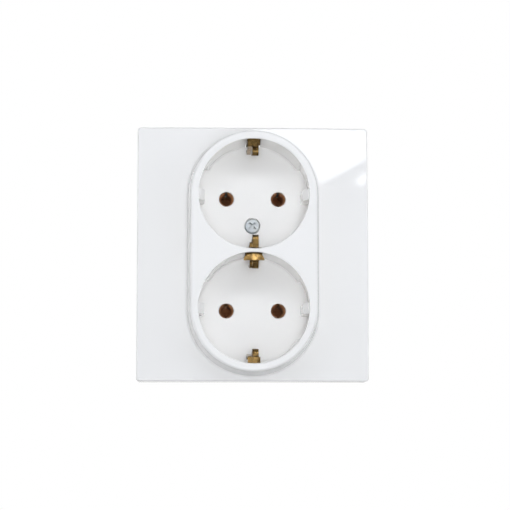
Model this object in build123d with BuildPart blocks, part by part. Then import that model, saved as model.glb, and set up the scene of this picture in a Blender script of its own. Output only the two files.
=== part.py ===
"""Double wall socket: two round recessed outlets with side earth clips, on a claw-fixed strap.

Millimetres. X points right, Z points up, and the wall is the plane Y = 0.
Heights are measured from the wall towards the user, so a height h lies at Y = -h.
"""
import os
from math import cos, hypot, radians, tan

from build123d import *

os.makedirs("parts", exist_ok=True)

# Outlets
pin_spacing = 19.0
pin_hole_diameter = 5.4
pin_hole_chamfer = 0.3
pin_length = 19.0
cup_radius = 19.85
partition = 1.3
cup_depth = 17.0
cup_draft = 1.2
floor_thickness = 1.8
floor_round = 0.9
rim_round = 0.4

# Cover
strap_clearance = 4.6
skirt_wall = 2.0
plate_margin = 2.1
plate_crown_height = 10.4
plate_crown_radius = 1000.0
plate_thickness = 2.2
plate_corner_radius = 1.4
plate_edge_round = 0.6
side_draft = 1.0
boss_draft = 6.0
boss_lip = 2.8
boss_edge_round = 1.1
boss_root_round = 0.9
boss_overlap = 3.0
cup_wall = 1.8
rib_width = 3.9
rib_reach = 1.9
rib_drop = 2.2
rib_lead = 3.6
rib_round = 0.5
relief_depth = 0.7
relief_half_width = 10.8
relief_drop = 2.4
gusset_width = 1.4
gusset_drop = 4.0

# Cover screw
cover_screw_drop = 9.9
cover_screw_head = 5.4
cover_screw_head_height = 1.6
cover_screw_shank = 3.0
cover_screw_length = 11.0
cover_screw_boss_wall = 1.2
screw_hole_clearance = 0.2
head_recess_clearance = 0.3
head_sink = 0.1
head_edge_round = 0.6
cross_length = 3.4
cross_width = 0.9
cross_depth = 1.3
cross_turn = 45.0

# Support strap
strap_thickness = 1.2
box_screw_spacing = 60.0
box_slot_length = 7.0
box_slot_width = 3.8
strap_edge = 2.0
strap_bar = 9.3
strap_corner_radius = 8.0
strap_gap = 0.4

# Contact carrier
carrier_half_width = 20.0
carrier_wall = 1.6
deck_gap = 0.5
deck_rim = 0.8
carrier_floor = 1.5
terminal_bay_depth = 5.0
pocket_gap = 0.5
pocket_round = 2.0
piece_gap = 0.3
wire_bay = 4.0
earth_bay_half_width = 5.0

# Contact rails
rail_thickness = 0.8
rail_width = 7.6
sleeve_wall = 0.6
sleeve_mouth_radius = 2.75
sleeve_neck_radius = 1.85
sleeve_neck_depth = 1.3
sleeve_root_radius = 2.5
sleeve_slot = 1.0
sleeve_slot_stop = 3.0
sleeve_end_gap = 0.3
pin_end_gap = 0.7
terminal_wall = 1.3
terminal_z = -11.0
terminal_tab = 8.4

# Terminals
terminal_screw_shank = 3.5
terminal_screw_head = 6.0
terminal_screw_head_height = 2.2
terminal_screw_reach = 5.0
thread_clearance = 0.05
clamp_size = 7.6
clamp_thickness = 1.2
wire_gap = 0.8
wire_groove = 0.4
terminal_window_gap = 0.5

# Earth strip and its end clips
strip_thickness = 0.7
strip_width = 8.0
strip_bend = 1.0
clip_width = 4.5
clip_leg_gap = 0.5
clip_shoulder_inset = 2.3
clip_shoulder_drop = 2.4
clip_bulge_inset = 5.3
long_finger_width = 2.2
long_finger_inset = 0.5
short_finger_width = 1.5
finger_hook = 1.5
finger_bend = 0.6
bulge_bend = 1.5
clip_front_gap = 1.9
clip_bulge_depth = 4.75
short_finger_bulge = 1.3
short_finger_end = 8.0
clip_tail_height = 2.0
clip_tail_back = 1.6
clip_groove_gap = 0.4
clip_groove_depth = 1.9
clip_front_wall = 1.2

# Middle earth clip
saddle_thickness = 0.6
saddle_width = 5.6
saddle_upper_gap = 0.2
saddle_lower_gap = 0.4
saddle_front_drop = 1.7
saddle_bulge_drop = 3.1
finger_lean = 0.2
saddle_tuck = 1.2
saddle_bend = 0.8
saddle_root = 1.0
saddle_rail = 0.6
saddle_window_gap = 0.3
bell_reach = 2.9
bell_width = 7.4
bell_waist_width = 6.2
bell_top_width = 4.1
bell_sag = 0.8
bell_top_sag = 0.25
bell_lift = 0.75
saddle_floor_gap = 0.1
bridge_height = 1.2

# Earth terminal bracket
bracket_width = 7.0
bracket_z = -7.0
bracket_foot = 9.0
bracket_tab = 12.6
earth_terminal_z = -14.6

# Rivets
strap_rivet_inset = 2.2
strap_rivet_z = 17.5
strap_rivet_shank = 2.0
strap_rivet_head = 3.6
strap_rivet_head_height = 0.9
strap_rivet_length = 8.0
earth_rivet_shank = 2.6
earth_rivet_head = 4.6
earth_rivet_front_head = 0.45
earth_rivet_back_head = 0.8
rivet_clearance = 0.05

# Claws
ramp_angle = 18.0
ramp_rib_inner = 3.4
ramp_rib_outer = 6.0
ramp_foot_gap = 1.45
ramp_front = -8.0
claw_screw_gap = 0.3
claw_screw_shank = 3.0
claw_screw_head = 5.6
claw_screw_head_height = 1.9
claw_screw_tail = 0.8
claw_seat_gap = 0.05
claw_thickness = 1.5
claw_length = 12.0
claw_bend = 1.6
claw_back_gap = 3.5
claw_slide_gap = 0.15
claw_half_width = 5.4
claw_tooth_reach = 3.0
claw_tooth_notch = 1.1
claw_tooth_count = 3
claw_fork_gap = 0.2
claw_fork_bar = 2.2
claw_nut_size = 5.6
claw_nut_thickness = 2.4
nut_groove_gap = 0.3

# Greatest distance between two values that count as equal
same_place = 1e-4

# Sizes that follow from the ones above
outlet_spacing = 2 * cup_radius + partition
outlet_z = outlet_spacing / 2
pin_x = pin_spacing / 2
terminal_x = carrier_half_width - terminal_wall - clamp_size / 2 - terminal_window_gap
strap_rivet_x = carrier_half_width - strap_rivet_inset
both_outlets = (outlet_z, -outlet_z)
strip_front = strap_thickness + strip_thickness
floor_back = strip_front + saddle_thickness + saddle_floor_gap
floor_front = floor_back + floor_thickness
rim_height = floor_front + cup_depth
cup_floor_radius = cup_radius - cup_depth * tan(radians(cup_draft))
strap_width = box_screw_spacing + box_slot_length + 2 * strap_edge
boss_slope = tan(radians(boss_draft))
boss_top_radius = cup_radius + boss_lip
boss_base_radius = boss_top_radius + (rim_height - plate_crown_height) * boss_slope
plate_width = strap_width + 2 * (strap_clearance + skirt_wall)
plate_height = outlet_spacing + 2 * (boss_base_radius + plate_margin)
roof_height = plate_crown_height - plate_thickness - plate_width**2 / (8 * plate_crown_radius)
deck_height = floor_back - deck_gap
rail_front = floor_front - pin_length - pin_end_gap
rail_back = rail_front - rail_thickness
bay_height = rail_back - carrier_floor
carrier_back = bay_height - terminal_bay_depth
sleeve_outer = max(sleeve_mouth_radius, sleeve_root_radius) + sleeve_wall
pocket_half = max(sleeve_outer, rail_width / 2) + pocket_gap
pocket_half_height = outlet_z + pocket_half
carrier_radius = hypot(pin_x + sleeve_outer, outlet_z + sleeve_outer) + carrier_wall
deck_half_width = pin_x + pocket_half + deck_rim
deck_half_height = pocket_half_height + deck_rim
strap_height = 2 * (deck_half_height + strap_gap + strap_bar)
earth_rivet_z = carrier_radius + earth_rivet_head / 2 + piece_gap
cover_screw_z = outlet_z - cover_screw_drop
cover_screw_tip = floor_front - head_sink - cover_screw_head_height - cover_screw_length
clip_leg_radius = cup_radius + clip_leg_gap
clip_shoulder_reach = cup_radius - clip_shoulder_inset
clip_reach = cup_radius - clip_bulge_inset
clip_front = rim_height - clip_front_gap
clip_bulge = rim_height - clip_bulge_depth
clip_tail = floor_front + clip_tail_height
clip_shoulder = clip_front - clip_shoulder_drop
long_finger_x = clip_width / 2 - long_finger_inset - long_finger_width / 2
short_finger_x = (short_finger_width - clip_width) / 2
saddle_upper = partition / 2 + saddle_upper_gap
saddle_lower = -partition / 2 - saddle_lower_gap
bell_lower = -partition / 2 - bell_reach
saddle_front = rim_height - saddle_front_drop
bracket_back = bay_height - strip_thickness
ramp_slope = tan(radians(ramp_angle))
claw_screw_x = carrier_half_width + claw_screw_gap + claw_screw_shank / 2
claw_back = carrier_back - claw_back_gap
nut_front = claw_back - claw_thickness - claw_seat_gap
nut_half = claw_nut_size / 2


def facing(height):
    """Plane parallel to the wall: x right, y up, and it extrudes towards the user."""
    return Plane.XZ.offset(height)


def side(x):
    """Plane across the socket seen from the side: x is the height from the wall, y is up."""
    return Plane((x, 0, 0), x_dir=(0, -1, 0), z_dir=(-1, 0, 0))


def plan(z):
    """Plane across the socket seen from above: x is right, y is the height from the wall."""
    return Plane((0, 0, z), x_dir=(1, 0, 0), z_dir=(0, 0, -1))


def at_height(edge, height):
    """True for an edge that lies wholly at one height from the wall."""
    box = edge.bounding_box()
    return abs(box.min.Y + height) < same_place and abs(box.max.Y + height) < same_place


def round_edges(piece, height, radius):
    """Circles of a piece at one height from the wall, with one radius."""
    level = piece.edges().filter_by(GeomType.CIRCLE).filter_by(lambda e: at_height(e, height))
    return level.filter_by(lambda e: abs(e.radius - radius) < same_place)


def ramp_x(height):
    """Distance of the slanted claw ramp from the middle of the socket."""
    return carrier_half_width + ramp_foot_gap + (height - claw_back) * ramp_slope


# Cover: plate with raised boss and two cups, one moulding
with BuildPart() as cover:
    with BuildSketch(facing(0)):
        RectangleRounded(plate_width, plate_height, plate_corner_radius)
    extrude(amount=plate_crown_height + plate_thickness, taper=side_draft)
    with Locations((0, plate_crown_radius - plate_crown_height, 0)):
        Sphere(plate_crown_radius, mode=Mode.INTERSECT)
    fillet(cover.faces().sort_by(Axis.Y)[0].edges(), plate_edge_round)
    # raised boss
    boss_start = plate_crown_height - boss_overlap
    boss_start_radius = boss_base_radius + boss_overlap * boss_slope
    with BuildSketch(facing(boss_start)):
        SlotCenterToCenter(outlet_spacing, 2 * boss_start_radius, rotation=90)
    extrude(amount=rim_height - boss_start, taper=boss_draft)
    fillet(cover.faces().sort_by(Axis.Y)[0].edges(), boss_edge_round)
    plate_face = cover.faces().filter_by(GeomType.SPHERE).sort_by(SortBy.AREA)[-1]
    fillet(plate_face.inner_wires()[0].edges(), boss_root_round)
    # hollow behind the plate and the boss
    with BuildSketch(facing(0)):
        RectangleRounded(plate_width - 2 * skirt_wall, plate_height - 2 * skirt_wall, plate_corner_radius)
    extrude(amount=roof_height, mode=Mode.SUBTRACT)
    with BuildSketch(facing(0)):
        SlotCenterToCenter(outlet_spacing, 2 * (boss_base_radius - skirt_wall), rotation=90)
    extrude(amount=rim_height - plate_thickness, taper=boss_draft / 2, mode=Mode.SUBTRACT)
    # cup walls, floors and the boss under the cover screw
    with BuildSketch(facing(floor_back)):
        with GridLocations(0, outlet_spacing, 1, 2):
            Circle(cup_radius + cup_wall)
    extrude(amount=rim_height - floor_back - plate_thickness / 2)
    with BuildSketch(facing(strip_front)):
        with Locations((0, cover_screw_z)):
            Circle(cover_screw_head / 2 + cover_screw_boss_wall)
    extrude(amount=floor_front - strip_front)
    # cups
    with BuildSketch(facing(rim_height)):
        with GridLocations(0, outlet_spacing, 1, 2):
            Circle(cup_radius)
    extrude(amount=-cup_depth, taper=cup_draft, mode=Mode.SUBTRACT)
    fillet(round_edges(cover, rim_height, cup_radius), rim_round)
    fillet(round_edges(cover, floor_front, cup_floor_radius), floor_round)
    # reliefs in the cup walls, with a guide rib in the middle of each
    for z in both_outlets:
        with BuildSketch(facing(floor_front)):
            with Locations((0, z)):
                Circle(cup_radius + relief_depth)
                Rectangle(3 * cup_radius, 2 * relief_half_width, mode=Mode.INTERSECT)
        extrude(amount=cup_depth - relief_drop, mode=Mode.SUBTRACT)
    for z in both_outlets:
        for way in (-1, 1):
            with BuildSketch(facing(floor_back)):
                with Locations((way * (cup_radius + relief_depth / 2 - rib_reach / 2), z)):
                    RectangleRounded(rib_reach + 2 * relief_depth, rib_width, rib_round)
            extrude(amount=rim_height - rib_drop - floor_back)
            rib_top = rim_height - rib_drop
            rib_inner = cup_radius - rib_reach - relief_depth / 2
            with BuildSketch(plan(z)):
                with BuildLine():
                    Polyline(
                        (way * (cup_radius - relief_depth / 2), rib_top),
                        (way * rib_inner, rib_top),
                        (way * rib_inner, rib_top - rib_lead),
                        close=True,
                    )
                make_face()
            extrude(amount=rib_width, both=True, mode=Mode.SUBTRACT)
    # grooves for the end clips and the window for the middle clip
    for way in (-1, 1):
        groove_bottom = clip_leg_radius + strip_thickness / 2 + clip_groove_gap
        with BuildSketch(facing(floor_back)):
            with Locations((0, way * (outlet_z + groove_bottom - clip_groove_depth / 2))):
                Rectangle(clip_width + 2 * clip_groove_gap, clip_groove_depth)
        extrude(amount=rim_height - clip_front_wall - floor_back, mode=Mode.SUBTRACT)
    window_room = saddle_thickness / 2 + saddle_window_gap
    window_height = saddle_upper - saddle_lower + 2 * window_room
    with BuildSketch(facing(floor_back)):
        with Locations((0, (saddle_upper + saddle_lower) / 2)):
            Rectangle(saddle_width + 2 * saddle_window_gap, window_height)
    extrude(amount=rim_height - bridge_height - floor_back, mode=Mode.SUBTRACT)
    # pin holes
    with BuildSketch(facing(floor_back)):
        with GridLocations(pin_spacing, outlet_spacing, 2, 2):
            Circle(pin_hole_diameter / 2)
    extrude(amount=floor_thickness, mode=Mode.SUBTRACT)
    chamfer(round_edges(cover, floor_front, pin_hole_diameter / 2), pin_hole_chamfer)
    # cover screw hole with a recess for the head
    with BuildSketch(facing(strip_front)):
        with Locations((0, cover_screw_z)):
            Circle(cover_screw_shank / 2 + screw_hole_clearance)
    extrude(amount=floor_front - strip_front, mode=Mode.SUBTRACT)
    with BuildSketch(facing(floor_front)):
        with Locations((0, cover_screw_z)):
            Circle(cover_screw_head / 2 + head_recess_clearance)
    extrude(amount=-cover_screw_head_height - head_sink, mode=Mode.SUBTRACT)
    # gussets that stiffen the plate behind
    gusset_start = cup_radius + cup_wall / 2
    gusset_length = plate_width / 2 - skirt_wall / 2 - gusset_start
    with BuildSketch(facing(roof_height - gusset_drop)):
        with GridLocations(2 * gusset_start + gusset_length, outlet_spacing, 2, 2):
            Rectangle(gusset_length, gusset_width)
    extrude(amount=gusset_drop + plate_thickness / 2)
cover.part.label = "cover"
export_step(cover.part, "parts/cover.step")

# Cover screw: pan head with a cross recess
with BuildPart() as cover_screw:
    head_top = floor_front - head_sink
    with BuildSketch(facing(head_top)):
        with Locations((0, cover_screw_z)):
            Circle(cover_screw_head / 2)
    extrude(amount=-cover_screw_head_height)
    fillet(cover_screw.edges().filter_by(lambda e: at_height(e, head_top)), head_edge_round)
    with BuildSketch(facing(head_top)):
        with Locations(Location((0, cover_screw_z), cross_turn)):
            Rectangle(cross_length, cross_width)
            Rectangle(cross_width, cross_length)
    extrude(amount=-cross_depth, mode=Mode.SUBTRACT)
    with BuildSketch(facing(head_top - cover_screw_head_height)):
        with Locations((0, cover_screw_z)):
            Circle(cover_screw_shank / 2)
    extrude(amount=-cover_screw_length)
    chamfer(cover_screw.faces().sort_by(Axis.Y)[-1].edges(), cover_screw_shank / 6)
cover_screw.part.label = "cover_screw"
export_step(cover_screw.part, "parts/cover_screw.step")

# Support strap: steel plate that lies on the wall box
with BuildPart() as support_strap:
    with BuildSketch(facing(0)):
        RectangleRounded(strap_width, strap_height, strap_corner_radius)
        opening_width = 2 * (deck_half_width + strap_gap)
        opening_height = 2 * (deck_half_height + strap_gap)
        RectangleRounded(opening_width, opening_height, pocket_round, mode=Mode.SUBTRACT)
        with Locations((-box_screw_spacing / 2, 0), (box_screw_spacing / 2, 0)):
            SlotOverall(box_slot_length, box_slot_width, mode=Mode.SUBTRACT)
        with Locations((-claw_screw_x, 0), (claw_screw_x, 0)):
            Circle(claw_screw_shank / 2 + screw_hole_clearance, mode=Mode.SUBTRACT)
        with GridLocations(2 * strap_rivet_x, 2 * strap_rivet_z, 2, 2):
            Circle(strap_rivet_shank / 2 + rivet_clearance, mode=Mode.SUBTRACT)
        with GridLocations(0, 2 * earth_rivet_z, 1, 2):
            Circle(earth_rivet_shank / 2 + rivet_clearance, mode=Mode.SUBTRACT)
    extrude(amount=strap_thickness)
support_strap.part.label = "support_strap"
export_step(support_strap.part, "parts/support_strap.step")

# Contact carrier: insulating block that sits in the wall box
with BuildPart() as contact_carrier:
    with BuildSketch(facing(carrier_back)):
        Circle(carrier_radius)
        Rectangle(2 * carrier_half_width, 2 * carrier_radius, mode=Mode.INTERSECT)
    extrude(amount=-carrier_back)
    # slanted ribs that the claws ride on
    for way in (-1, 1):
        for z in (-(ramp_rib_inner + ramp_rib_outer) / 2, (ramp_rib_inner + ramp_rib_outer) / 2):
            with BuildSketch(plan(z)):
                with BuildLine():
                    Polyline(
                        (way * (carrier_half_width - carrier_wall), carrier_back),
                        (way * ramp_x(carrier_back), carrier_back),
                        (way * ramp_x(ramp_front), ramp_front),
                        (way * ramp_x(ramp_front), 0),
                        (way * (carrier_half_width - carrier_wall), 0),
                        close=True,
                    )
                make_face()
            extrude(amount=(ramp_rib_outer - ramp_rib_inner) / 2, both=True)
    # raised deck inside the strap's opening, with a channel for the earth strip
    with BuildSketch(facing(0)):
        Circle(carrier_radius)
        Rectangle(2 * deck_half_width, 2 * deck_half_height, mode=Mode.INTERSECT)
    extrude(amount=deck_height)
    with BuildSketch(facing(strap_thickness)):
        Rectangle(strip_width + 2 * piece_gap, 2 * carrier_radius)
    extrude(amount=deck_height, mode=Mode.SUBTRACT)
    # pockets for the contact rails and their terminal tabs
    with BuildSketch(facing(rail_back)):
        with Locations((-pin_x, 0), (pin_x, 0)):
            RectangleRounded(2 * pocket_half, 2 * pocket_half_height, pocket_round)
        with Locations((-terminal_x, terminal_z), (terminal_x, terminal_z)):
            Rectangle(terminal_tab + 2 * piece_gap, terminal_tab + 2 * piece_gap)
    extrude(amount=deck_height - rail_back, mode=Mode.SUBTRACT)
    # terminal windows and wire bays in the back
    window = clamp_size + 2 * terminal_window_gap
    with BuildSketch(facing(carrier_back)):
        with Locations((-terminal_x, terminal_z), (terminal_x, terminal_z)):
            Rectangle(window, window)
    extrude(amount=rail_back - carrier_back, mode=Mode.SUBTRACT)
    earth_bay_top = bracket_z + strip_thickness / 2 + piece_gap
    earth_bay_height = bracket_tab + strip_thickness + 2 * piece_gap
    with BuildSketch(facing(carrier_back)):
        with Locations((-terminal_x, terminal_z - wire_bay / 2), (terminal_x, terminal_z - wire_bay / 2)):
            Rectangle(window, window + wire_bay)
        with Locations((0, earth_bay_top - earth_bay_height / 2)):
            Rectangle(2 * earth_bay_half_width, earth_bay_height)
    extrude(amount=terminal_bay_depth, mode=Mode.SUBTRACT)
    # slot and seat for the earth terminal bracket
    bracket_slot = bracket_width + 2 * piece_gap
    slot_height = strip_thickness / 2 + strip_bend + 2 * piece_gap
    with BuildSketch(facing(carrier_back)):
        with Locations((0, earth_bay_top - slot_height / 2)):
            Rectangle(bracket_slot, slot_height)
    extrude(amount=deck_height - carrier_back, mode=Mode.SUBTRACT)
    seat_height = bracket_foot + strip_thickness / 2 + 2 * piece_gap
    with BuildSketch(facing(strap_thickness - strip_thickness)):
        with Locations((0, earth_bay_top - seat_height / 2)):
            Rectangle(bracket_slot, seat_height)
    extrude(amount=deck_height, mode=Mode.SUBTRACT)
    # holes for the screws and the strap rivets
    with BuildSketch(facing(cover_screw_tip - piece_gap)):
        with Locations((0, cover_screw_z)):
            Circle(cover_screw_shank / 2 + piece_gap)
    extrude(amount=deck_height - cover_screw_tip + piece_gap, mode=Mode.SUBTRACT)
    with BuildSketch(facing(bay_height)):
        with Locations((0, earth_terminal_z)):
            Circle(terminal_screw_shank / 2 + piece_gap)
    extrude(amount=terminal_screw_reach + piece_gap, mode=Mode.SUBTRACT)
    rivet_tip = strap_thickness - strap_rivet_length
    with BuildSketch(facing(rivet_tip)):
        with GridLocations(2 * strap_rivet_x, 2 * strap_rivet_z, 2, 2):
            Circle(strap_rivet_shank / 2 + rivet_clearance)
    extrude(amount=-rivet_tip, mode=Mode.SUBTRACT)
    # grooves that the claw nuts travel in
    groove_inner = claw_screw_x - nut_half - nut_groove_gap
    with BuildSketch(facing(carrier_back)):
        with Locations((-claw_screw_x, 0), (claw_screw_x, 0)):
            Rectangle(2 * (claw_screw_x - groove_inner), claw_nut_size + 2 * nut_groove_gap)
    extrude(amount=-carrier_back, mode=Mode.SUBTRACT)
contact_carrier.part.label = "contact_carrier"
export_step(contact_carrier.part, "parts/contact_carrier.step")

# Strap rivets: four blind rivets, strap to carrier
with BuildPart() as strap_rivets:
    with BuildSketch(facing(strap_thickness)):
        with GridLocations(2 * strap_rivet_x, 2 * strap_rivet_z, 2, 2):
            Circle(strap_rivet_head / 2)
    extrude(amount=strap_rivet_head_height)
    rivet_top = strap_thickness + strap_rivet_head_height
    fillet(round_edges(strap_rivets, rivet_top, strap_rivet_head / 2), strap_rivet_head_height / 2)
    with BuildSketch(facing(strap_thickness)):
        with GridLocations(2 * strap_rivet_x, 2 * strap_rivet_z, 2, 2):
            Circle(strap_rivet_shank / 2)
    extrude(amount=-strap_rivet_length)
strap_rivets.part.label = "strap_rivets"
export_step(strap_rivets.part, "parts/strap_rivets.step")

# Earth strip: one brass strip whose bent ends are the outer earth clips
with BuildPart() as earth_strip:
    strip_middle = strap_thickness + strip_thickness / 2
    leg_z = outlet_z + clip_leg_radius
    root_height = clip_front - clip_shoulder_drop
    with BuildSketch(side(0)):
        with BuildLine() as strip_line:
            FilletPolyline(
                (root_height, leg_z),
                (strip_middle, leg_z),
                (strip_middle, -leg_z),
                (root_height, -leg_z),
                radius=strip_bend,
            )
        trace(strip_line.line, strip_thickness)
    extrude(amount=clip_width / 2, both=True)
    with BuildSketch(facing(strap_thickness)):
        Rectangle(strip_width, 2 * (leg_z - 2 * strip_bend - strip_thickness))
    extrude(amount=strip_thickness)
    # each end is hooked over at the front, then runs on as a long and a short finger
    hook = (clip_front - finger_lean, leg_z - finger_hook)
    shoulder = (clip_front - 2 * finger_lean, outlet_z + clip_shoulder_reach)
    step = (clip_shoulder, outlet_z + clip_shoulder_reach - finger_lean)
    bulge = (clip_bulge, outlet_z + clip_reach)
    long_tail = (clip_tail, outlet_z + clip_reach + clip_tail_back)
    short_bulge = (short_finger_end, outlet_z + clip_shoulder_reach - short_finger_bulge)
    short_tail = (clip_tail, outlet_z + clip_shoulder_reach)
    leg_path = [(root_height, leg_z), (clip_front, leg_z), shoulder]
    long_path = [hook, shoulder, step, bulge, long_tail]
    short_path = [hook, shoulder, short_bulge, short_tail]
    bands = (
        (0, clip_width, leg_path, [finger_bend]),
        (long_finger_x, long_finger_width, long_path, [finger_bend, finger_bend, bulge_bend]),
        (short_finger_x, short_finger_width, short_path, [finger_bend, finger_bend]),
    )
    for way in (-1, 1):
        for x, width, points, bends in bands:
            with BuildSketch(side(x)):
                with BuildLine() as finger_line:
                    FilletPolyline(*[(height, way * z) for height, z in points], radius=bends)
                trace(finger_line.line, strip_thickness)
            extrude(amount=width / 2, both=True)
    # tapped hole for the cover screw and holes for the rivets
    with BuildSketch(facing(strap_thickness)):
        with Locations((0, cover_screw_z)):
            Circle(cover_screw_shank / 2 + thread_clearance)
        with GridLocations(0, 2 * earth_rivet_z, 1, 2):
            Circle(earth_rivet_shank / 2 + rivet_clearance)
    extrude(amount=strip_thickness, mode=Mode.SUBTRACT)
earth_strip.part.label = "earth_strip"
export_step(earth_strip.part, "parts/earth_strip.step")

# Earth rivets: two flat rivets, earth strip to strap
with BuildPart() as earth_rivets:
    with BuildSketch(facing(strip_front)):
        with GridLocations(0, 2 * earth_rivet_z, 1, 2):
            Circle(earth_rivet_head / 2)
    extrude(amount=earth_rivet_front_head)
    with BuildSketch(facing(0)):
        with GridLocations(0, 2 * earth_rivet_z, 1, 2):
            Circle(earth_rivet_shank / 2)
    extrude(amount=strip_front)
    with BuildSketch(facing(0)):
        with GridLocations(0, 2 * earth_rivet_z, 1, 2):
            Circle(earth_rivet_head / 2)
    extrude(amount=-earth_rivet_back_head)
earth_rivets.part.label = "earth_rivets"
export_step(earth_rivets.part, "parts/earth_rivets.step")

# Middle earth clip: brass saddle in the window between the cups, with a bell-shaped crown
with BuildPart() as middle_earth_clip:
    with BuildSketch(side(0)):
        with BuildLine() as saddle_line:
            FilletPolyline(
                (strip_front, saddle_upper),
                (saddle_front, saddle_upper),
                (saddle_front, saddle_lower),
                (strip_front, saddle_lower),
                radius=saddle_bend,
            )
        trace(saddle_line.line, saddle_thickness)
    extrude(amount=saddle_width / 2, both=True)
    # bell-shaped hood: narrow under the cover's bridge, wide and lifted at its lower edge
    bell_top = -partition / 2 + saddle_thickness / 2
    bell_waist = (bell_top + bell_lower) / 2
    bell_waist_sag = (bell_top_sag + bell_sag) / 2
    bell = (
        (bell_top, bell_top_width, bell_top_sag, saddle_front),
        (bell_waist, bell_waist_width, bell_waist_sag, saddle_front + bell_lift / 2),
        (bell_lower, bell_width, bell_sag, saddle_front + bell_lift),
    )
    for z, width, sag, height in bell:
        with BuildSketch(plan(z)):
            with BuildLine() as bell_line:
                ThreePointArc((-width / 2, height - sag), (0, height), (width / 2, height - sag))
            trace(bell_line.line, saddle_thickness)
    loft()
    # upper fingers are cut out of the upper leg, which leaves a rail on either side
    upper_root = saddle_front - saddle_root
    with BuildSketch(facing(clip_tail)):
        with Locations((0, saddle_upper)):
            Rectangle(saddle_width - 2 * saddle_rail, 2 * saddle_thickness)
    extrude(amount=upper_root - clip_tail, mode=Mode.SUBTRACT)
    # lower fingers are folded back under the hood's edge
    thin_finger_x = short_finger_x + long_finger_inset
    thin_finger_width = short_finger_width - long_finger_inset
    tucked = saddle_front - saddle_tuck
    low_bulge = saddle_front - saddle_bulge_drop
    thin_bulge = tucked - finger_bend - finger_lean
    upper_bulge = upper_root - finger_bend - finger_lean
    reach = outlet_z - clip_reach
    short_reach = outlet_z - clip_shoulder_reach
    fingers = (
        (long_finger_x, long_finger_width, 1, saddle_upper, upper_root, upper_bulge, reach, bulge_bend),
        (thin_finger_x, thin_finger_width, 1, saddle_upper, upper_root, upper_bulge, short_reach, finger_bend),
        (long_finger_x, long_finger_width, -1, -bell_lower, tucked, low_bulge, reach, bulge_bend),
        (thin_finger_x, thin_finger_width, -1, -bell_lower, tucked, thin_bulge, reach, bulge_bend),
    )
    for x, width, way, start_z, root, bulge, end_z, bend in fingers:
        start = root + finger_bend if way > 0 else saddle_front + bell_lift
        with BuildSketch(side(x)):
            with BuildLine() as finger_line:
                FilletPolyline(
                    (start, way * start_z),
                    (root - finger_bend, way * start_z),
                    (bulge, way * end_z),
                    (clip_tail, way * (end_z - clip_tail_back)),
                    radius=[finger_bend, bend],
                )
            trace(finger_line.line, saddle_thickness)
        extrude(amount=width / 2, both=True)
middle_earth_clip.part.label = "middle_earth_clip"
export_step(middle_earth_clip.part, "parts/middle_earth_clip.step")

# Earth terminal bracket: brass strip from the earth strip back to the terminal bay
with BuildPart() as earth_terminal_bracket:
    foot_middle = strap_thickness - strip_thickness / 2
    tab_middle = bay_height - strip_thickness / 2
    with BuildSketch(side(0)):
        with BuildLine() as bracket_line:
            FilletPolyline(
                (foot_middle, bracket_z - bracket_foot),
                (foot_middle, bracket_z),
                (tab_middle, bracket_z),
                (tab_middle, bracket_z - bracket_tab),
                radius=strip_bend,
            )
        trace(bracket_line.line, strip_thickness)
    extrude(amount=bracket_width / 2, both=True)
    with BuildSketch(facing(bracket_back)):
        with Locations((0, earth_terminal_z)):
            Circle(terminal_screw_shank / 2 + thread_clearance)
    extrude(amount=strip_thickness, mode=Mode.SUBTRACT)
earth_terminal_bracket.part.label = "earth_terminal_bracket"
export_step(earth_terminal_bracket.part, "parts/earth_terminal_bracket.step")

# Contact rails: brass strip with two split sleeves and a terminal tab, left and right
sleeve_front = floor_back - sleeve_end_gap
sleeve_neck = sleeve_front - sleeve_neck_depth
for name, way in (("left", -1), ("right", 1)):
    with BuildPart() as contact_rail:
        with BuildSketch(facing(rail_back)):
            with Locations((way * pin_x, 0)):
                Rectangle(rail_width, 2 * (outlet_z + sleeve_outer))
            with Locations((way * terminal_x, terminal_z)):
                Rectangle(terminal_tab, terminal_tab)
        extrude(amount=rail_thickness)
        for z in both_outlets:
            with BuildSketch(Plane((way * pin_x, 0, z), x_dir=(1, 0, 0), z_dir=(0, 0, -1))):
                with BuildLine():
                    Polyline(
                        (sleeve_root_radius, rail_front),
                        (sleeve_neck_radius, sleeve_neck),
                        (sleeve_mouth_radius, sleeve_front),
                        (sleeve_mouth_radius + sleeve_wall, sleeve_front),
                        (sleeve_neck_radius + sleeve_wall, sleeve_neck),
                        (sleeve_root_radius + sleeve_wall, rail_front),
                        close=True,
                    )
                make_face()
            revolve(axis=Axis((way * pin_x, 0, z), (0, 1, 0)))
        # slit that lets each sleeve spring open
        with BuildSketch(facing(rail_front + sleeve_slot_stop)):
            with Locations(*[(way * pin_x, z) for z in both_outlets]):
                Rectangle(sleeve_slot, 3 * sleeve_outer)
        extrude(amount=sleeve_front - rail_front, mode=Mode.SUBTRACT)
        with BuildSketch(facing(rail_back)):
            with Locations((way * terminal_x, terminal_z)):
                Circle(terminal_screw_shank / 2 + thread_clearance)
        extrude(amount=rail_thickness, mode=Mode.SUBTRACT)
    contact_rail.part.label = f"{name}_contact_rail"
    export_step(contact_rail.part, f"parts/{name}_contact_rail.step")

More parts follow.
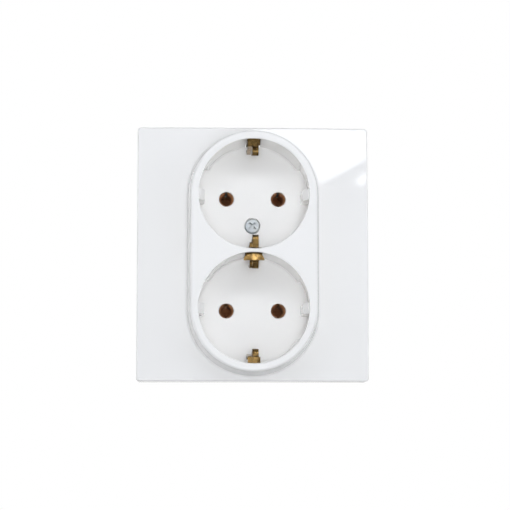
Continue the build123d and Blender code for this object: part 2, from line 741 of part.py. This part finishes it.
# Terminal screws and clamp plates: left, right and earth
terminals = (
    ("left", -terminal_x, terminal_z, rail_back),
    ("right", terminal_x, terminal_z, rail_back),
    ("earth", 0, earth_terminal_z, bracket_back),
)
for name, x, z, face in terminals:
    clamp_front = face - wire_gap
    head_front = clamp_front - clamp_thickness
    with BuildPart() as clamp_plate:
        with BuildSketch(facing(clamp_front)):
            with Locations((x, z)):
                RectangleRounded(clamp_size, clamp_size, clamp_thickness)
                Circle(terminal_screw_shank / 2 + screw_hole_clearance, mode=Mode.SUBTRACT)
        extrude(amount=-clamp_thickness)
        # wire grooves either side of the screw
        with BuildSketch(facing(clamp_front)):
            with Locations((x, z)):
                with GridLocations(clamp_size - 2 * clamp_thickness, 0, 2, 1):
                    Rectangle(clamp_thickness, clamp_size)
        extrude(amount=-wire_groove, mode=Mode.SUBTRACT)
    clamp_plate.part.label = f"{name}_clamp_plate"
    export_step(clamp_plate.part, f"parts/{name}_clamp_plate.step")

    with BuildPart() as terminal_screw:
        with BuildSketch(facing(head_front)):
            with Locations((x, z)):
                Circle(terminal_screw_head / 2)
        extrude(amount=-terminal_screw_head_height)
        head_back = terminal_screw.faces().sort_by(Axis.Y)[-1]
        fillet(head_back.edges(), head_edge_round)
        with BuildSketch(facing(head_front - terminal_screw_head_height)):
            with Locations((x, z)):
                Rectangle(cross_length, cross_width)
                Rectangle(cross_width, cross_length)
        extrude(amount=cross_depth, mode=Mode.SUBTRACT)
        with BuildSketch(facing(head_front)):
            with Locations((x, z)):
                Circle(terminal_screw_shank / 2)
        extrude(amount=clamp_thickness + wire_gap + terminal_screw_reach)
    terminal_screw.part.label = f"{name}_terminal_screw"
    export_step(terminal_screw.part, f"parts/{name}_terminal_screw.step")

# Claws with their screws and nuts, left and right
fork_edge = claw_screw_x + claw_screw_shank / 2 + claw_fork_gap
leg_middle = claw_back - claw_thickness / 2
tooth_middle = claw_back + claw_length - claw_thickness / 2
web_offset = claw_slide_gap + claw_thickness / (2 * cos(radians(ramp_angle)))
tooth_edge = ramp_x(tooth_middle) + claw_tooth_reach
tooth_pitch = 2 * claw_half_width / claw_tooth_count
for name, way in (("left", -1), ("right", 1)):
    with BuildPart() as claw:
        with BuildSketch(plan(0)):
            with BuildLine() as claw_line:
                FilletPolyline(
                    (way * (fork_edge + claw_fork_bar), leg_middle),
                    (way * (ramp_x(leg_middle) + web_offset), leg_middle),
                    (way * (ramp_x(tooth_middle) + web_offset), tooth_middle),
                    (way * tooth_edge, tooth_middle),
                    radius=[claw_bend, claw_thickness],
                )
            trace(claw_line.line, claw_thickness)
        extrude(amount=claw_half_width, both=True)
        # fork that straddles the screw
        with BuildSketch(facing(claw_back - claw_thickness)):
            with Locations((way * (fork_edge - claw_length / 2), 0)):
                Rectangle(claw_length, 2 * (fork_edge - claw_screw_x))
        extrude(amount=claw_length, mode=Mode.SUBTRACT)
        # notches that leave the teeth
        for step in range(claw_tooth_count - 1):
            notch_z = (step + 1) * tooth_pitch - claw_half_width
            with BuildSketch(facing(claw_back + claw_length - claw_thickness)):
                with BuildLine():
                    Polyline(
                        (way * tooth_edge, notch_z - tooth_pitch / 3),
                        (way * (tooth_edge - claw_tooth_notch), notch_z),
                        (way * tooth_edge, notch_z + tooth_pitch / 3),
                        close=True,
                    )
                make_face()
            extrude(amount=claw_thickness, mode=Mode.SUBTRACT)
    claw.part.label = f"{name}_claw"
    export_step(claw.part, f"parts/{name}_claw.step")

    with BuildPart() as claw_screw:
        head_seat = strap_thickness + claw_seat_gap
        head_top = head_seat + claw_screw_head_height
        tip = nut_front - claw_nut_thickness - claw_screw_tail
        with BuildSketch(facing(head_seat)):
            with Locations((way * claw_screw_x, 0)):
                Circle(claw_screw_head / 2)
        extrude(amount=claw_screw_head_height)
        fillet(claw_screw.edges().filter_by(lambda e: at_height(e, head_top)), head_edge_round)
        with BuildSketch(facing(head_top)):
            with Locations((way * claw_screw_x, 0)):
                Rectangle(cross_length, cross_width)
                Rectangle(cross_width, cross_length)
        extrude(amount=-cross_depth, mode=Mode.SUBTRACT)
        with BuildSketch(facing(tip)):
            with Locations((way * claw_screw_x, 0)):
                Circle(claw_screw_shank / 2)
        extrude(amount=head_seat - tip)
        chamfer(claw_screw.faces().sort_by(Axis.Y)[-1].edges(), claw_screw_shank / 6)
    claw_screw.part.label = f"{name}_claw_screw"
    export_step(claw_screw.part, f"parts/{name}_claw_screw.step")

    with BuildPart() as claw_nut:
        with BuildSketch(facing(nut_front)):
            with Locations((way * claw_screw_x, 0)):
                Rectangle(claw_nut_size, claw_nut_size)
                Circle(claw_screw_shank / 2 + thread_clearance, mode=Mode.SUBTRACT)
        extrude(amount=-claw_nut_thickness)
    claw_nut.part.label = f"{name}_claw_nut"
    export_step(claw_nut.part, f"parts/{name}_claw_nut.step")
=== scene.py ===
from math import cos, pi, radians, sin

import bmesh
import bpy
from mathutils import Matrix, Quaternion, Vector


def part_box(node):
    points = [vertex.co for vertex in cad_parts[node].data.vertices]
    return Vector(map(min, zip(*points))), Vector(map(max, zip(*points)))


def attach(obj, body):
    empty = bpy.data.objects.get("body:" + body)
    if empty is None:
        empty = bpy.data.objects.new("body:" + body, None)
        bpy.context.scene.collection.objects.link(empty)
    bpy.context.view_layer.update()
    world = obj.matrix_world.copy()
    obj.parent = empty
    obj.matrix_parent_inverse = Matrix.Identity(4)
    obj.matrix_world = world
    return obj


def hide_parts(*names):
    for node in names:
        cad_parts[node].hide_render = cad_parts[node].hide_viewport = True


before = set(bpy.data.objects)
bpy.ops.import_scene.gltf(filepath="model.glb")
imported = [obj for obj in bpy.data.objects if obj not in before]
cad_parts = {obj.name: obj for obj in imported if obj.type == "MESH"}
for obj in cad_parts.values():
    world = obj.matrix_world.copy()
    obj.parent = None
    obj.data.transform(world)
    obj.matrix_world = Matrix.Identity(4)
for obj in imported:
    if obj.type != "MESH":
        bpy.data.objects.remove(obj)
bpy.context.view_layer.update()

# Cover
# One glossy white moulding of ABS: plate, raised boss and both cups. It comes from a polished mould,
# is held by the screw in the upper cup, and its skirt stands on the wall.
mm = 0.001


def linear(colour):
    """Linear colour for a material from an sRGB hex value."""
    parts = [int(colour[i:i + 2], 16) / 255 for i in (1, 3, 5)]
    return tuple(c / 12.92 if c <= 0.04045 else ((c + 0.055) / 1.055) ** 2.4 for c in parts) + (1.0,)


def node(tree, kind, inputs=(), **settings):
    """Adds a shader node, sets its properties, and fills or links its inputs by name or number."""
    made = tree.nodes.new("ShaderNode" + kind)
    for name, value in settings.items():
        setattr(made, name, value)
    for key, value in dict(inputs).items():
        if isinstance(value, bpy.types.NodeSocket):
            tree.links.new(value, made.inputs[key])
        else:
            made.inputs[key].default_value = value
    return made


def finish_of(name):
    """An empty material, its node tree, and the object's own coordinates in metres."""
    material = bpy.data.materials.new(name)
    material.use_nodes = True
    tree = material.node_tree
    tree.nodes.clear()
    place = node(tree, "TexCoord").outputs["Object"]
    return material, tree, place


def dress(material, *names):
    """Gives CAD nodes a material; their shape stays as it is."""
    for name in names:
        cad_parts[name].data.materials.clear()
        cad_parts[name].data.materials.append(material)


# Polished ABS: a clean, nearly neutral white with sharp reflections. Its tint and polish drift over 30 mm,
# the melt leaves slow waves in the gloss, 9 mm long, and the skin has a faint grain of 0.6 mm.
moulded_abs, tree, place = finish_of("moulded_gloss_abs")
drift = node(tree, "TexNoise", {"Vector": place, "Scale": 1 / (30 * mm), "Detail": 2.0})
tint = node(tree, "ValToRGB", {"Fac": drift.outputs["Fac"]})
tint.color_ramp.elements[0].color = linear("#F8F6F2")
tint.color_ramp.elements[1].color = linear("#FBF9F6")
polish = node(tree, "MapRange", {"Value": drift.outputs["Fac"], "To Min": 0.02, "To Max": 0.04})
waves = node(tree, "TexNoise", {"Vector": place, "Scale": 1 / (9 * mm), "Detail": 1.0})
swell = node(tree, "Bump", {"Height": waves.outputs["Fac"], "Strength": 0.25, "Distance": 0.05 * mm})
grain = node(tree, "TexNoise", {"Vector": place, "Scale": 1 / (0.6 * mm), "Detail": 2.0})
skin = node(tree, "Bump", {
    "Height": grain.outputs["Fac"], "Strength": 0.12, "Distance": 0.01 * mm,
    "Normal": swell.outputs["Normal"]})
plastic = node(tree, "BsdfPrincipled", {
    "Base Color": tint.outputs["Color"], "Roughness": polish.outputs["Result"], "IOR": 1.53,
    "Normal": skin.outputs["Normal"]})
node(tree, "OutputMaterial", {"Surface": plastic.outputs["BSDF"]})
dress(moulded_abs, "cover")

# Cover screw, strap and the other zinc-plated steel
# The screw in the upper cup, the strap on the wall box, rivets, clamp plates, terminal screws and claw
# nuts. All are mild steel, barrel plated with zinc and passivated.

# Bright zinc: a cool silver with soft reflections, a blue to straw bloom in patches of 3 mm, and a crystal
# grain of 0.25 mm.
bright_zinc, tree, place = finish_of("barrel_plated_zinc")
patches = node(tree, "TexNoise", {"Vector": place, "Scale": 1 / (3 * mm), "Detail": 4.0})
bloom = node(tree, "ValToRGB", {"Fac": patches.outputs["Fac"]})
bloom.color_ramp.elements[0].color = linear("#CBD3D9")
bloom.color_ramp.elements[0].position = 0.3
bloom.color_ramp.elements[1].color = linear("#DEE0DE")
bloom.color_ramp.elements[1].position = 0.7
crystals = node(tree, "TexNoise", {"Vector": place, "Scale": 1 / (0.25 * mm), "Detail": 3.0})
sheen = node(tree, "MapRange", {"Value": crystals.outputs["Fac"], "To Min": 0.4, "To Max": 0.58})
pits = node(tree, "Bump", {"Height": crystals.outputs["Fac"], "Strength": 0.2, "Distance": 0.02 * mm})
metal = node(tree, "BsdfPrincipled", {
    "Base Color": bloom.outputs["Color"], "Metallic": 1.0, "Roughness": sheen.outputs["Result"],
    "Normal": pits.outputs["Normal"]})
node(tree, "OutputMaterial", {"Surface": metal.outputs["BSDF"]})
dress(bright_zinc, "cover_screw", "support_strap", "strap_rivets", "earth_rivets")
for terminal in ("left", "right", "earth"):
    dress(bright_zinc, terminal + "_clamp_plate", terminal + "_terminal_screw")
dress(bright_zinc, "left_claw_nut", "right_claw_nut")

# Contact carrier
# The insulating block in the wall box, with the strap riveted to its front. It is compression moulded from
# mineral-filled urea resin, pale grey and matt.

# Urea resin: dull, with a 0.8 mm mottle of filler and a spark-eroded grain of 0.15 mm from the mould.
urea, tree, place = finish_of("moulded_urea_resin")
mottle = node(tree, "TexNoise", {"Vector": place, "Scale": 1 / (0.8 * mm), "Detail": 3.0})
shade = node(tree, "ValToRGB", {"Fac": mottle.outputs["Fac"]})
shade.color_ramp.elements[0].color = linear("#C6C7C3")
shade.color_ramp.elements[1].color = linear("#D5D5D0")
eroded = node(tree, "TexNoise", {"Vector": place, "Scale": 1 / (0.15 * mm), "Detail": 2.0})
relief = node(tree, "Bump", {"Height": eroded.outputs["Fac"], "Strength": 0.4, "Distance": 0.02 * mm})
resin = node(tree, "BsdfPrincipled", {
    "Base Color": shade.outputs["Color"], "Roughness": 0.55, "IOR": 1.55,
    "Normal": relief.outputs["Normal"]})
node(tree, "OutputMaterial", {"Surface": resin.outputs["BSDF"]})
dress(urea, "contact_carrier")

# Earth strip, middle earth clip and earth terminal bracket
# Punched and bent from rolled brass. The strip's two ends are the outer earth clips, the saddle between the
# cups serves both, and the bracket holds the earth terminal's screw.

# Rolled brass: warm gold, drawn out in rolling lines 0.3 mm apart, and dulled by brown tarnish in patches
# of 2 mm.
rolled_brass, tree, place = finish_of("rolled_brass")
stretched = node(tree, "Mapping", {
    "Vector": place, "Scale": (1 / (0.3 * mm), 1 / (6 * mm), 1 / (6 * mm))})
lines = node(tree, "TexNoise", {"Vector": stretched.outputs["Vector"], "Scale": 1.0, "Detail": 3.0})
stain = node(tree, "TexNoise", {"Vector": place, "Scale": 1 / (2 * mm), "Detail": 4.0})
patina = node(tree, "ValToRGB", {"Fac": stain.outputs["Fac"]})
patina.color_ramp.elements[0].color = linear("#3B270D")
patina.color_ramp.elements[0].position = 0.32
patina.color_ramp.elements[1].color = linear("#92774A")
patina.color_ramp.elements[1].position = 0.6
dulled = node(tree, "MapRange", {"Value": stain.outputs["Fac"], "To Min": 0.32, "To Max": 0.16})
drawn = node(tree, "Bump", {"Height": lines.outputs["Fac"], "Strength": 0.15, "Distance": 0.02 * mm})
brass = node(tree, "BsdfPrincipled", {
    "Base Color": patina.outputs["Color"], "Metallic": 1.0, "Roughness": dulled.outputs["Result"],
    "Normal": drawn.outputs["Normal"]})
node(tree, "OutputMaterial", {"Surface": brass.outputs["BSDF"]})
dress(rolled_brass, "earth_strip", "middle_earth_clip", "earth_terminal_bracket")

# Contact rails
# The two live rails in the carrier's pockets, punched from red brass strip. Each is rolled into two split
# sleeves that grip the pins, and it ends in a terminal tab.

# Red brass: more copper than the strip's, and dull from pickling, with a mottle of 0.7 mm.
red_brass, tree, place = finish_of("pickled_red_brass")
mottle = node(tree, "TexNoise", {"Vector": place, "Scale": 1 / (0.7 * mm), "Detail": 3.0})
copper = node(tree, "ValToRGB", {"Fac": mottle.outputs["Fac"]})
copper.color_ramp.elements[0].color = linear("#C8946C")
copper.color_ramp.elements[1].color = linear("#F2CCA6")
pickled = node(tree, "BsdfPrincipled", {
    "Base Color": copper.outputs["Color"], "Metallic": 1.0, "Roughness": 0.5})
node(tree, "OutputMaterial", {"Surface": pickled.outputs["BSDF"]})
dress(red_brass, "left_contact_rail", "right_contact_rail")

# Claws
# Stamped and bent from spring steel, then hardened. Their teeth bite into the wall box when the screws draw
# them forward over the carrier's ramps.

# Hardened steel: darker than the zinc, with a grey scale in patches of 1.5 mm that wears to a shine.
spring_steel, tree, place = finish_of("hardened_spring_steel")
scale = node(tree, "TexNoise", {"Vector": place, "Scale": 1 / (1.5 * mm), "Detail": 4.0})
grey = node(tree, "ValToRGB", {"Fac": scale.outputs["Fac"]})
grey.color_ramp.elements[0].color = linear("#85868A")
grey.color_ramp.elements[1].color = linear("#B4B4B4")
worn = node(tree, "MapRange", {"Value": scale.outputs["Fac"], "To Min": 0.45, "To Max": 0.28})
steel = node(tree, "BsdfPrincipled", {
    "Base Color": grey.outputs["Color"], "Metallic": 1.0, "Roughness": worn.outputs["Result"]})
node(tree, "OutputMaterial", {"Surface": steel.outputs["BSDF"]})
dress(spring_steel, "left_claw", "right_claw")

# Claw screws
# Zinc-plated screws with rolled threads, turned from the front with a cross-head driver. The nuts ride on
# the threads and draw the claws forward. The real pitch of 0.5 mm is too fine to show, and is drawn at 1 mm.
claw_screw_radius = 1.5 * mm
thread_pitch = 1.0 * mm
thread_depth = 0.28 * mm
thread_steps = 6
tip_chamfer = 0.5 * mm
claw_head_height = 1.9 * mm
claw_head_round = 0.4 * mm
claw_head_steps = 4
cross_arm = 1.7 * mm
cross_half_width = 0.45 * mm
cross_depth = 1.3 * mm
ring_points = 32
sharp_angle = radians(40)


def band(mesh, ring, following):
    """Joins two rings of as many points with faces."""
    for i in range(len(ring)):
        mesh.faces.new((ring[i - 1], ring[i], following[i], following[i - 1]))


def claw_screw(side):
    """A screw along Y in the place of the CAD one, from the tip to the cross recess in its head."""
    low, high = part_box(side + "_claw_screw")
    middle = (low + high) / 2
    head_radius = (high.x - low.x) / 2
    seat = low.y + claw_head_height
    mesh = bmesh.new()

    def ring(y, radius, threaded=False):
        points = []
        for i in range(ring_points):
            turn = 2 * pi * i / ring_points
            phase = ((y - seat) / thread_pitch - i / ring_points) % 1
            r = radius - thread_depth * abs(2 * phase - 1) if threaded else radius
            points.append(mesh.verts.new((middle.x + r * cos(turn), y, middle.z + r * sin(turn))))
        return points

    rings = [ring(high.y, claw_screw_radius - tip_chamfer - thread_depth)]
    step = thread_pitch / thread_steps
    for i in range(int((high.y - tip_chamfer - seat) / step), 0, -1):
        rings.append(ring(seat + i * step, claw_screw_radius, threaded=True))
    rings.append(ring(seat, claw_screw_radius - thread_depth))
    rings.append(ring(seat, head_radius))
    for i in range(claw_head_steps + 1):
        bend = pi / 2 * i / claw_head_steps
        depth = claw_head_round * (1 - sin(bend))
        inset = claw_head_round * (1 - cos(bend))
        rings.append(ring(low.y + depth, head_radius - inset))
    for first, second in zip(rings, rings[1:]):
        band(mesh, first, second)
    mesh.faces.new(rings[0])

    a, w = cross_arm, cross_half_width
    corners = [(w, a), (w, w), (a, w), (a, -w), (w, -w), (w, -a)]
    corners += [(-x, -z) for x, z in corners]
    mouth, bottom = (
        [mesh.verts.new((middle.x + x, y, middle.z + z)) for x, z in corners]
        for y in (low.y, low.y + cross_depth))
    band(mesh, mouth, bottom)
    mesh.faces.new(bottom)
    loops = (rings[-1], mouth)
    edges = [mesh.edges.get((loop[i - 1], loop[i])) for loop in loops for i in range(len(loop))]
    bmesh.ops.triangle_fill(mesh, edges=edges, use_beauty=True)
    bmesh.ops.recalc_face_normals(mesh, faces=mesh.faces)

    data = bpy.data.meshes.new(side + "_threaded_claw_screw")
    mesh.to_mesh(data)
    mesh.free()
    data.shade_smooth()
    data.set_sharp_from_angle(angle=sharp_angle)
    data.materials.append(bright_zinc)
    screw = bpy.data.objects.new(side + "_threaded_claw_screw", data)
    bpy.context.scene.collection.objects.link(screw)
    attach(screw, side + "_claw_screw")
    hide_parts(side + "_claw_screw")


for side in ("left", "right"):
    claw_screw(side)

# Floor
# A matt painted floor well below the socket, which hangs free as it would on a wall. To the camera, most of
# it is its own pale glow, and the rest keeps the shadow.
floor_size = 6
floor_drop = 0.32
glow_share = 0.7
bpy.ops.mesh.primitive_plane_add(size=floor_size, location=(0, 0, -floor_drop))
floor = bpy.context.object
floor.name = "floor"
floor_paint, tree, _ = finish_of("matt_floor_paint")
pale = node(tree, "BsdfDiffuse", {"Color": linear("#D0D0D0")})
glow = node(tree, "Emission", {"Color": linear("#F2F2F2"), "Strength": 0.85})
to_camera = node(tree, "LightPath").outputs["Is Camera Ray"]
share = node(tree, "Math", {0: to_camera, 1: glow_share}, operation="MULTIPLY")
lit = node(tree, "MixShader", {0: share.outputs[0], 1: pale.outputs[0], 2: glow.outputs[0]})
node(tree, "OutputMaterial", {"Surface": lit.outputs[0]})
floor.data.materials.append(floor_paint)

# Surround
# White to the camera. In reflections it is white behind the socket and dimmer on the camera's side, and
# only the part behind the socket gives fill light, so that the lamps shape the front.
world = bpy.data.worlds.new("studio")
bpy.context.scene.world = world
world.use_nodes = True
tree = world.node_tree
tree.nodes.clear()
rays = node(tree, "LightPath").outputs
mirrored = node(
    tree, "Math", {0: rays["Is Camera Ray"], 1: rays["Is Glossy Ray"]}, operation="MAXIMUM")
seen = node(
    tree, "Math", {0: mirrored.outputs[0], 1: rays["Is Transmission Ray"]}, operation="MAXIMUM")
heading = node(tree, "TexCoord").outputs["Generated"]
ahead = node(tree, "SeparateXYZ", {"Vector": heading}).outputs["Y"]
room = node(tree, "MapRange", {
    "Value": ahead, "From Min": -0.6, "From Max": 0.1, "To Min": 0.4, "To Max": 1.0})
shown = node(
    tree, "Math", {0: room.outputs["Result"], 1: rays["Is Camera Ray"]}, operation="MAXIMUM")
white = node(tree, "Background", {"Color": linear("#FFFFFF"), "Strength": shown.outputs[0]})
behind = node(tree, "MapRange", {
    "Value": ahead, "From Min": -0.1, "From Max": 0.3, "To Min": 0.0, "To Max": 0.7})
fill = node(tree, "Background", {"Color": linear("#FBFDFF"), "Strength": behind.outputs["Result"]})
either = node(tree, "MixShader", {0: seen.outputs[0], 1: fill.outputs[0], 2: white.outputs[0]})
node(tree, "OutputWorld", {"Surface": either.outputs[0]})

# Lamps
# Soft boxes of one daylight colour, aimed at the socket: sizes and places in metres, turns in degrees. The
# window and its pane are the sharp reflection in the plate's upper right corner, the softboxes light the
# cups' walls, and the card lights the metals. The bounce fills from the front and shows in no reflection.
daylight = linear("#F4F8FF")[:3]
for name, width, height, watts, position, turn in (
    ("window", 0.2, 0.16, 0.5, (0.16, -1.0, 0.321), 31),
    ("pane", 0.018, 0.013, 0.0038, (0.216, -1.0, 0.232), 31),
    ("left_softbox", 0.42, 0.42, 0.76, (-0.45, -0.36, 0.11), 0),
    ("right_softbox", 0.42, 0.42, 0.84, (0.45, -0.36, 0.11), 0),
    ("strip", 0.4, 0.03, 0.42, (0.0, -0.36, 0.23), 0),
    ("bounce", 0.16, 0.14, 1.08, (0.0, -0.62, -0.04), 0),
    ("card", 0.14, 0.1, 0.28, (0.0, -0.56, -0.18), 0),
):
    lamp_data = bpy.data.lights.new(name, "AREA")
    lamp_data.shape = "RECTANGLE"
    lamp_data.size, lamp_data.size_y = width, height
    lamp_data.energy = watts
    lamp_data.color = daylight
    lamp = bpy.data.objects.new(name, lamp_data)
    lamp.location = position
    lamp.visible_glossy = name != "bounce"
    facing = (-lamp.location).to_track_quat("-Z", "Y")
    lamp.rotation_euler = (facing @ Quaternion((0, 0, 1), radians(turn))).to_euler()
    bpy.context.scene.collection.objects.link(lamp)

# Camera
# It stands 0.68 m in front of the socket, a little to its left and below its middle, so that the cups show
# their right and upper walls. The lens gives the photograph's scale at the cups' floors.
picture_width = 510
pixels_per_mm = 2.7374
cup_floor_height = 4.4
aim_to_right = 0.98
stand = Vector((-27, -681, -73)) * mm
camera_data = bpy.data.cameras.new("camera")
camera = bpy.data.objects.new("camera", camera_data)
camera.location = stand
line_of_sight = Vector((aim_to_right, -cup_floor_height, 0.0)) * mm - stand
camera.rotation_euler = line_of_sight.to_track_quat("-Z", "Y").to_euler()
camera_data.sensor_width = 36
camera_data.lens = camera_data.sensor_width * pixels_per_mm * line_of_sight.length / mm / picture_width
bpy.context.scene.collection.objects.link(camera)
bpy.context.scene.camera = camera
bpy.context.scene.view_settings.view_transform = "Standard"
